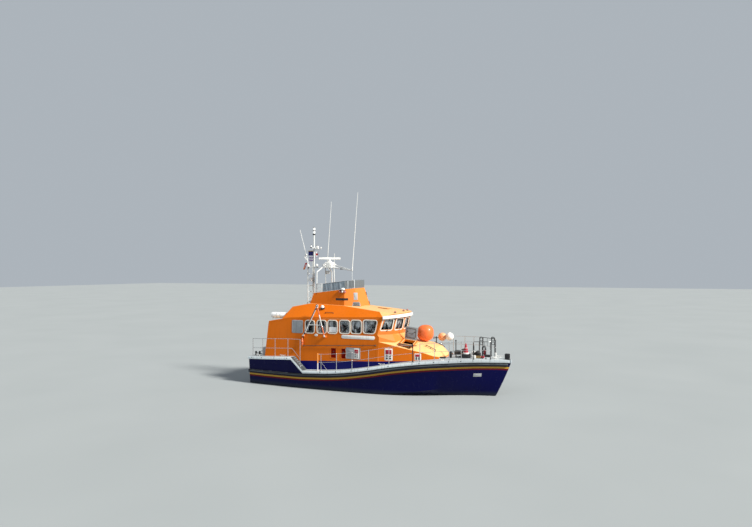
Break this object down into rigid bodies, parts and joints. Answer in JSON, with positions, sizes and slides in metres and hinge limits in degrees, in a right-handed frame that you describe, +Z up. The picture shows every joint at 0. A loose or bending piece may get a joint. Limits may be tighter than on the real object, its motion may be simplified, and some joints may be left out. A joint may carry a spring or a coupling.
{
  "type": "all-weather rescue lifeboat",
  "caption": "Decked rescue boat with a windowed wheelhouse, open upper steering position, mast and radar, rails, fenders, propellers and rudders; stored afloat.",
  "frame": {"origin": "at the waterline, amidships on the centreline", "axes": "+X forward to the bow, +Y to port, +Z up"},
  "size_m": [14.35, 4.7048, 11.8198],
  "materials": {
    "hull_paint": "gloss navy paint on a moulded hull",
    "deck_paint": "pale grey non-slip deck paint",
    "house_paint": "semi-gloss orange paint",
    "white_paint": "white gelcoat",
    "grey_panel": "satin grey paint",
    "grey_canvas": "proofed canvas",
    "black_rubber": "matt black rubber",
    "dark_metal": "satin dark paint",
    "bronze": "cast bronze",
    "mast_metal": "pale grey paint",
    "rail_steel": "polished stainless tube",
    "tinted_glass": "dark toughened glass",
    "seat_fabric": "dark covered foam",
    "orange_vinyl": "inflated vinyl",
    "flag_navy_cloth": "bunting",
    "flag_white_cloth": "bunting",
    "flag_red_cloth": "bunting"
  },
  "bodies": {
    "boat": {"hull": "hull_paint", "deck": "deck_paint", "rubbing_strake_starboard": "black_rubber", "rubbing_strake_port": "black_rubber", "engine_starboard": "dark_metal", "engine_port": "dark_metal", "foredeck_trunk": "house_paint", "house_side_starboard": "house_paint", "house_side_port": "house_paint", "windscreen_wall": "house_paint", "house_aft_wall": "house_paint", "aft_roof": "house_paint", "main_roof": "house_paint", "side_glazing_starboard": "tinted_glass", "side_glazing_port": "tinted_glass", "windscreen_glazing": "tinted_glass", "cabin_sole": "deck_paint", "helm_console": "dark_metal", "helm_seat_starboard": "seat_fabric", "helm_seat_port": "seat_fabric", "flying_bridge_coaming": "house_paint", "flying_bridge_dodger": "grey_canvas", "flying_bridge_console": "white_paint", "windscreen_brow": "white_paint", "mast": "mast_metal", "whip_aerial_forward": "white_paint", "whip_aerial_middle": "white_paint", "whip_aerial_aft": "white_paint", "side_rail_starboard": "rail_steel", "side_rail_port": "rail_steel", "bow_rail_starboard": "rail_steel", "bow_rail_port": "rail_steel", "aft_rail_starboard": "rail_steel", "aft_rail_port": "rail_steel", "liferaft_canister": "white_paint", "ball_fender_large": "orange_vinyl", "ball_fender_orange": "orange_vinyl", "ball_fender_white": "white_paint", "towing_bollard": "dark_metal", "anchor_windlass": "dark_metal", "stem_fairlead": "black_rubber", "flag_navy": "flag_navy_cloth", "flag_white": "flag_white_cloth", "flag_red": "flag_red_cloth"},
    "propeller_starboard": {"propeller_starboard": "bronze"},
    "propeller_port": {"propeller_port": "bronze"},
    "rudder_starboard": {"rudder_starboard": "bronze"},
    "rudder_port": {"rudder_port": "bronze"},
    "radar_scanner": {"radar_scanner": "white_paint"},
    "aft_door": {"aft_door": "house_paint"},
    "hatch_lid": {"hatch_lid": "grey_panel"},
    "recovery_davit": {"recovery_davit": "rail_steel"},
    "flying_bridge_wheel": {"flying_bridge_wheel": "dark_metal"}
  },
  "joints": [
    {"name": "propeller_starboard_spin", "type": "hinge", "parent": "boat", "child": "propeller_starboard", "pos_m": [-5.55, -0.95, -0.93], "axis": [0.9806, 0, 0.1961], "continuous": true},
    {"name": "propeller_port_spin", "type": "hinge", "parent": "boat", "child": "propeller_port", "pos_m": [-5.55, 0.95, -0.93], "axis": [0.9806, 0, 0.1961], "continuous": true},
    {"name": "rudder_starboard_turn", "type": "hinge", "parent": "boat", "child": "rudder_starboard", "pos_m": [-6.35, -0.95, -0.9], "axis": [0, 0, 1], "range_deg": [-35, 35]},
    {"name": "rudder_port_turn", "type": "hinge", "parent": "boat", "child": "rudder_port", "pos_m": [-6.35, 0.95, -0.9], "axis": [0, 0, 1], "range_deg": [-35, 35]},
    {"name": "radar_spin", "type": "hinge", "parent": "boat", "child": "radar_scanner", "pos_m": [-3.05, 0, 6.95], "axis": [0, 0, 1], "continuous": true},
    {"name": "aft_door_hinge", "type": "hinge", "parent": "boat", "child": "aft_door", "pos_m": [-6.17319, -0.35, 1.77], "axis": [0.1106, 0, 0.9939], "range_deg": [0, 115]},
    {"name": "hatch_lid_hinge", "type": "hinge", "parent": "boat", "child": "hatch_lid", "pos_m": [1.71, -0.62, 2.747], "axis": [0.994, 0, -0.1096], "range_deg": [0, 100]},
    {"name": "recovery_davit_swing", "type": "hinge", "parent": "boat", "child": "recovery_davit", "pos_m": [-3.06, -1.84, 2.79], "axis": [1, 0, 0], "range_deg": [0, 75]},
    {"name": "flying_bridge_wheel_turn", "type": "hinge", "parent": "boat", "child": "flying_bridge_wheel", "pos_m": [-1.85, -0.2, 5.02], "axis": [0.9063, 0, -0.4226], "range_deg": [-450, 450]}
  ],
  "couplings": [
    {"joint": "rudder_port_turn", "follows": "rudder_starboard_turn", "ratio": 1}
  ]
}
